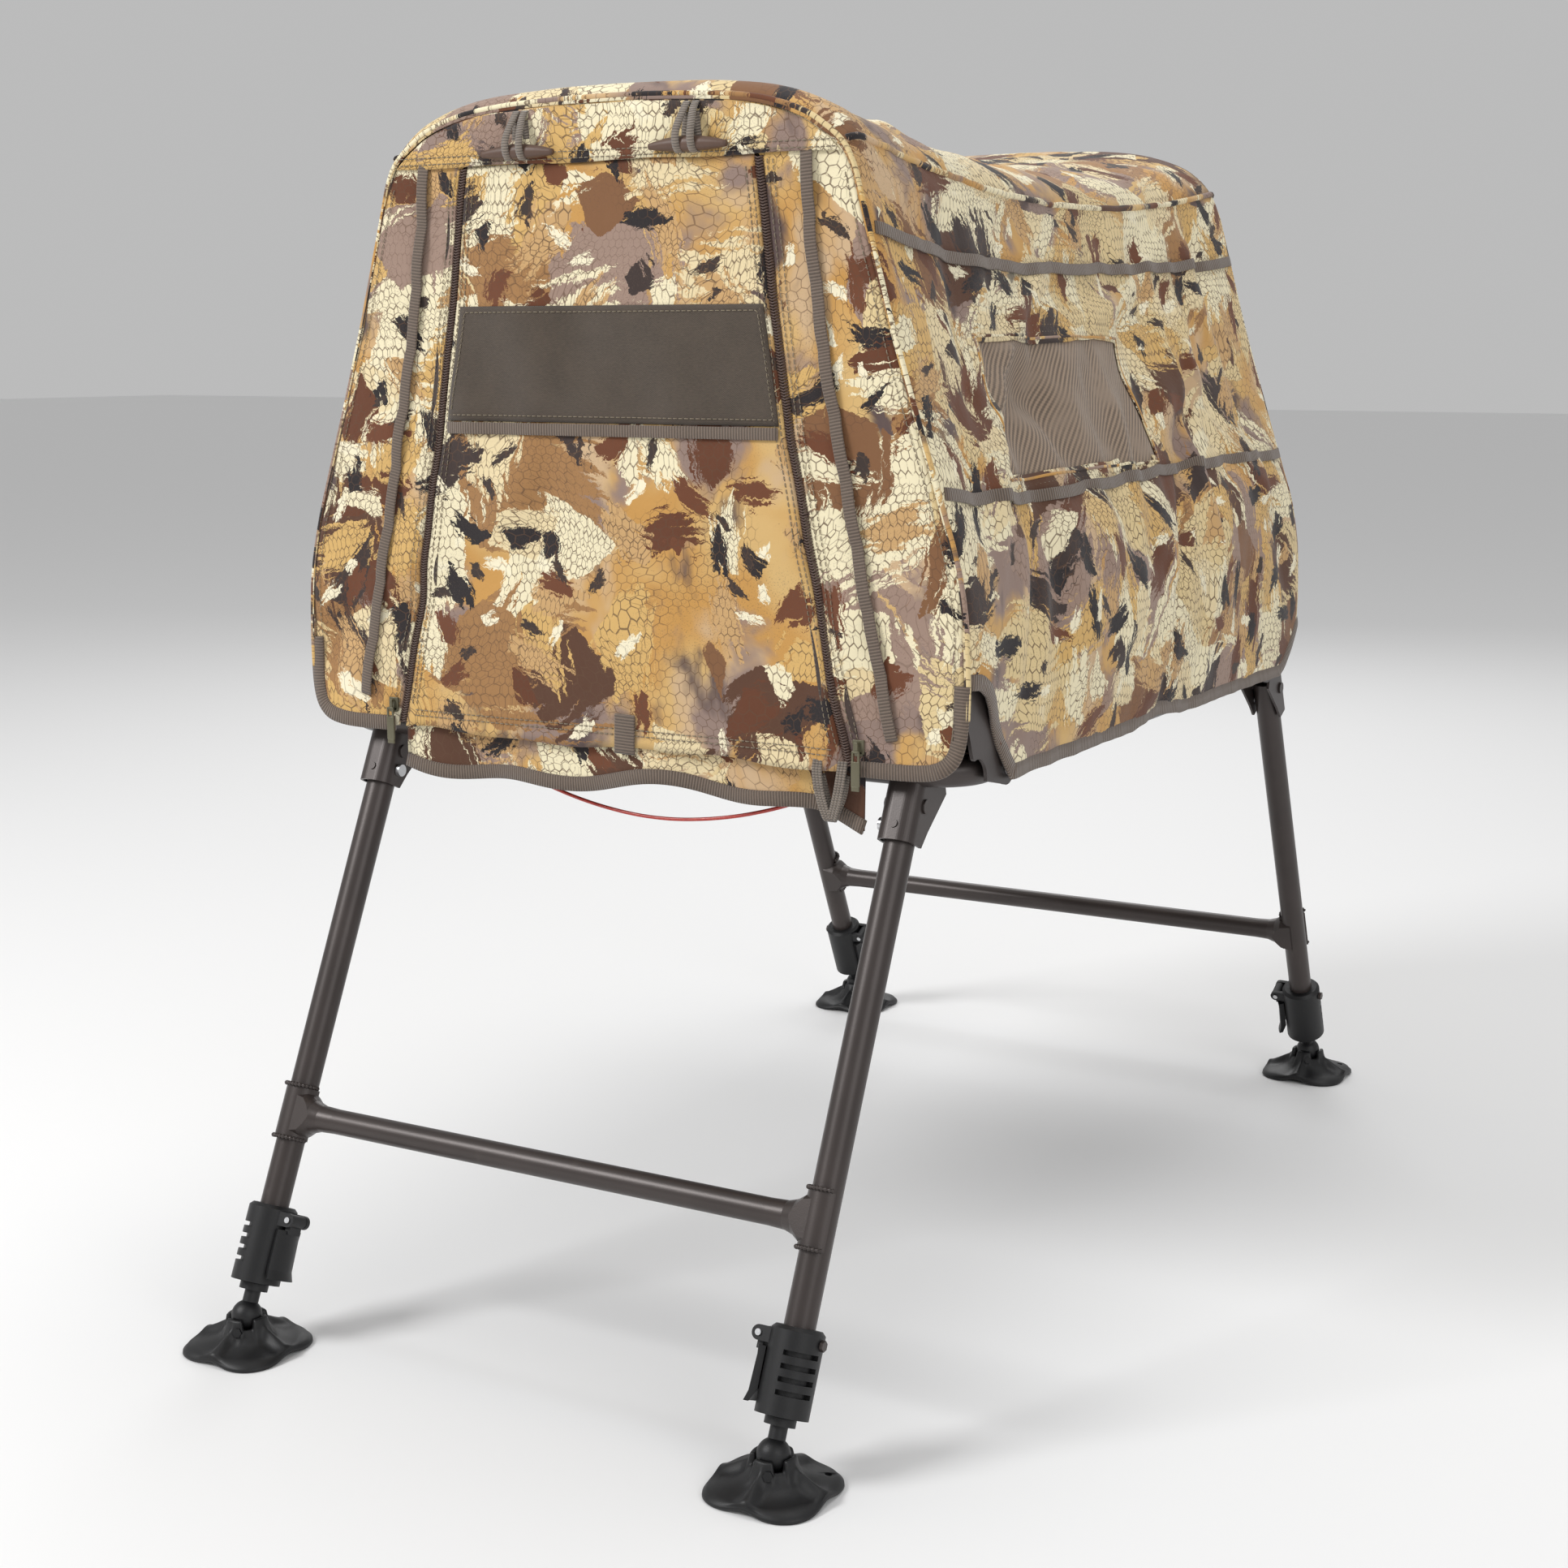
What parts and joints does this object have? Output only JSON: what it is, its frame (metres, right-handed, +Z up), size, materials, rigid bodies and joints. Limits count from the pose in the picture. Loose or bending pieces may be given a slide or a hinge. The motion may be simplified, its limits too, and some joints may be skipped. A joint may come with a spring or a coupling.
{
  "type": "elevated pop-up field blind",
  "caption": "Elevated pop-up field blind: camouflage cloth shell on folding hoops over a tube platform, zipped end door, side mesh windows, folding leg frames with clamped feet.",
  "frame": {"origin": "on the ground under the middle of the platform", "axes": "+Z up, door end faces -Y, +X to the right when facing the door's far side"},
  "size_m": [0.7126, 1.325, 1.078],
  "materials": {
    "frame_metal": "satin dark bronze powder coat",
    "deck_metal": "satin dark bronze powder coat on expanded sheet",
    "bright_metal": "zinc plated",
    "black_plastic": "moulded, fine texture",
    "camo_fabric": null,
    "patch_fabric": "heavy plain weave",
    "webbing": "ribbed polyester webbing and binding",
    "window_mesh": "open mesh",
    "zip_coil": "nylon coil",
    "zip_metal": "painted die casting",
    "toggle_plastic": "smooth moulded",
    "cable_red": "smooth coated cable"
  },
  "bodies": {
    "platform": {"platform_frame": "frame_metal", "deck_braces": "frame_metal", "deck_panel": "deck_metal", "leg_pivot_bolts": "frame_metal", "hoop_pivot_screws": "bright_metal", "roof": "camo_fabric", "door_toggles": "toggle_plastic", "front_skirt": "camo_fabric", "cable_grommets": "black_plastic", "release_cable": "cable_red", "front_leg_brackets": "frame_metal", "rear_leg_brackets": "frame_metal", "front_wall": "camo_fabric", "rear_wall": "camo_fabric", "left_wall": "camo_fabric", "right_wall": "camo_fabric", "left_window": "window_mesh", "right_window": "window_mesh"},
    "door": {"door_panel": "camo_fabric"},
    "front_hoop": {"front_hoop": "frame_metal", "front_hinge_plates": "frame_metal"},
    "rear_hoop": {"rear_hoop": "frame_metal", "rear_hinge_plates": "frame_metal"},
    "front_legs": {"front_crossbar": "frame_metal", "front_clamp_pins": "bright_metal", "front_clamp_screws": "frame_metal", "front_left_leg_tube": "frame_metal", "front_left_clamp_housing": "black_plastic", "front_right_leg_tube": "frame_metal", "front_right_clamp_housing": "black_plastic"},
    "rear_legs": {"rear_crossbar": "frame_metal", "rear_clamp_pins": "bright_metal", "rear_clamp_screws": "frame_metal", "rear_left_leg_tube": "frame_metal", "rear_left_clamp_housing": "black_plastic", "rear_right_leg_tube": "frame_metal", "rear_right_clamp_housing": "black_plastic"},
    "front_left_lever": {"front_left_cam_lever": "black_plastic"},
    "front_left_extension": {"front_left_extension": "black_plastic"},
    "front_left_stud": {"front_left_ball_stud": "black_plastic"},
    "front_left_foot": {"front_left_foot": "black_plastic"},
    "front_left_lock": {"front_left_lock_pin": "bright_metal"},
    "front_right_lever": {"front_right_cam_lever": "black_plastic"},
    "front_right_extension": {"front_right_extension": "black_plastic"},
    "front_right_stud": {"front_right_ball_stud": "black_plastic"},
    "front_right_foot": {"front_right_foot": "black_plastic"},
    "front_right_lock": {"front_right_lock_pin": "bright_metal"},
    "rear_left_lever": {"rear_left_cam_lever": "black_plastic"},
    "rear_left_extension": {"rear_left_extension": "black_plastic"},
    "rear_left_stud": {"rear_left_ball_stud": "black_plastic"},
    "rear_left_foot": {"rear_left_foot": "black_plastic"},
    "rear_left_lock": {"rear_left_lock_pin": "bright_metal"},
    "rear_right_lever": {"rear_right_cam_lever": "black_plastic"},
    "rear_right_extension": {"rear_right_extension": "black_plastic"},
    "rear_right_stud": {"rear_right_ball_stud": "black_plastic"},
    "rear_right_foot": {"rear_right_foot": "black_plastic"},
    "rear_right_lock": {"rear_right_lock_pin": "bright_metal"},
    "left_zip": {"left_zip_slider": "zip_metal"},
    "right_zip": {"right_zip_slider": "zip_metal"}
  },
  "joints": [
    {"name": "front_legs_fold", "type": "hinge", "parent": "platform", "child": "front_legs", "pos_m": [0, -0.3951, 0.49983], "axis": [1, 0, 0], "range_deg": [0, 109]},
    {"name": "rear_legs_fold", "type": "hinge", "parent": "platform", "child": "rear_legs", "pos_m": [0, 0.3951, 0.49983], "axis": [-1, 0, 0], "range_deg": [0, 90]},
    {"name": "front_hoop_fold", "type": "hinge", "parent": "platform", "child": "front_hoop", "pos_m": [0, -0.338, 0.52803], "axis": [-1, 0, 0], "range_deg": [0, 90], "deforming": ["roof", "front_wall", "rear_wall", "left_wall", "right_wall", "left_window", "right_window"]},
    {"name": "rear_hoop_fold", "type": "hinge", "parent": "platform", "child": "rear_hoop", "pos_m": [0, 0.338, 0.52803], "axis": [1, 0, 0], "range_deg": [0, 78.3]},
    {"name": "door_lift", "type": "hinge", "parent": "platform", "child": "door", "pos_m": [0, -0.4215, 1.014], "axis": [1, 0, 0], "range_deg": [-80, 0]},
    {"name": "left_zip_slide", "type": "slide", "parent": "platform", "child": "left_zip", "axis": [-0.1838, 0, -0.983], "range_m": [-0.455, 0]},
    {"name": "right_zip_slide", "type": "slide", "parent": "platform", "child": "right_zip", "axis": [0.1838, 0, -0.983], "range_m": [-0.455, 0]},
    {"name": "front_left_lock_slide", "type": "slide", "parent": "platform", "child": "front_left_lock", "axis": [1, 0, 0], "range_m": [0, 0.005], "stiffness_N_per_m": 400},
    {"name": "front_left_lever_swing", "type": "hinge", "parent": "front_legs", "child": "front_left_lever", "pos_m": [-0.238, -0.57742, 0.10885], "axis": [0, -0.9063, 0.4226], "range_deg": [0, 105]},
    {"name": "front_left_extension_slide", "type": "slide", "parent": "front_legs", "child": "front_left_extension", "axis": [0, 0.4226, 0.9063], "range_m": [-0.12, 0]},
    {"name": "front_left_ball_swivel", "type": "hinge", "parent": "front_left_extension", "child": "front_left_stud", "pos_m": [-0.266, -0.61418, 0.03], "axis": [0, 0.4226, 0.9063], "continuous": true},
    {"name": "front_left_foot_tilt", "type": "hinge", "parent": "front_left_stud", "child": "front_left_foot", "pos_m": [-0.266, -0.61418, 0.03], "axis": [1, 0, 0], "range_deg": [-60, 15]},
    {"name": "front_right_lock_slide", "type": "slide", "parent": "platform", "child": "front_right_lock", "axis": [-1, 0, 0], "range_m": [0, 0.005], "stiffness_N_per_m": 400},
    {"name": "front_right_lever_swing", "type": "hinge", "parent": "front_legs", "child": "front_right_lever", "pos_m": [0.238, -0.57742, 0.10885], "axis": [0, 0.9063, -0.4226], "range_deg": [0, 105]},
    {"name": "front_right_extension_slide", "type": "slide", "parent": "front_legs", "child": "front_right_extension", "axis": [0, 0.4226, 0.9063], "range_m": [-0.12, 0]},
    {"name": "front_right_ball_swivel", "type": "hinge", "parent": "front_right_extension", "child": "front_right_stud", "pos_m": [0.266, -0.61418, 0.03], "axis": [0, 0.4226, 0.9063], "continuous": true},
    {"name": "front_right_foot_tilt", "type": "hinge", "parent": "front_right_stud", "child": "front_right_foot", "pos_m": [0.266, -0.61418, 0.03], "axis": [1, 0, 0], "range_deg": [-60, 15]},
    {"name": "rear_left_lock_slide", "type": "slide", "parent": "platform", "child": "rear_left_lock", "axis": [1, 0, 0], "range_m": [0, 0.005], "stiffness_N_per_m": 400},
    {"name": "rear_left_lever_swing", "type": "hinge", "parent": "rear_legs", "child": "rear_left_lever", "pos_m": [-0.28, 0.57742, 0.10885], "axis": [0, -0.9063, -0.4226], "range_deg": [0, 105]},
    {"name": "rear_left_extension_slide", "type": "slide", "parent": "rear_legs", "child": "rear_left_extension", "axis": [0, -0.4226, 0.9063], "range_m": [-0.12, 0]},
    {"name": "rear_left_ball_swivel", "type": "hinge", "parent": "rear_left_extension", "child": "rear_left_stud", "pos_m": [-0.308, 0.61418, 0.03], "axis": [0, -0.4226, 0.9063], "continuous": true},
    {"name": "rear_left_foot_tilt", "type": "hinge", "parent": "rear_left_stud", "child": "rear_left_foot", "pos_m": [-0.308, 0.61418, 0.03], "axis": [-1, 0, 0], "range_deg": [-60, 15]},
    {"name": "rear_right_lock_slide", "type": "slide", "parent": "platform", "child": "rear_right_lock", "axis": [-1, 0, 0], "range_m": [0, 0.005], "stiffness_N_per_m": 400},
    {"name": "rear_right_lever_swing", "type": "hinge", "parent": "rear_legs", "child": "rear_right_lever", "pos_m": [0.28, 0.57742, 0.10885], "axis": [0, 0.9063, 0.4226], "range_deg": [0, 105]},
    {"name": "rear_right_extension_slide", "type": "slide", "parent": "rear_legs", "child": "rear_right_extension", "axis": [0, -0.4226, 0.9063], "range_m": [-0.12, 0]},
    {"name": "rear_right_ball_swivel", "type": "hinge", "parent": "rear_right_extension", "child": "rear_right_stud", "pos_m": [0.308, 0.61418, 0.03], "axis": [0, -0.4226, 0.9063], "continuous": true},
    {"name": "rear_right_foot_tilt", "type": "hinge", "parent": "rear_right_stud", "child": "rear_right_foot", "pos_m": [0.308, 0.61418, 0.03], "axis": [-1, 0, 0], "range_deg": [-60, 15]}
  ],
  "couplings": [
    {"joint": "rear_hoop_fold", "follows": "front_hoop_fold", "ratio": 0.87},
    {"joint": "front_right_lock_slide", "follows": "front_left_lock_slide", "ratio": 1}
  ]
}
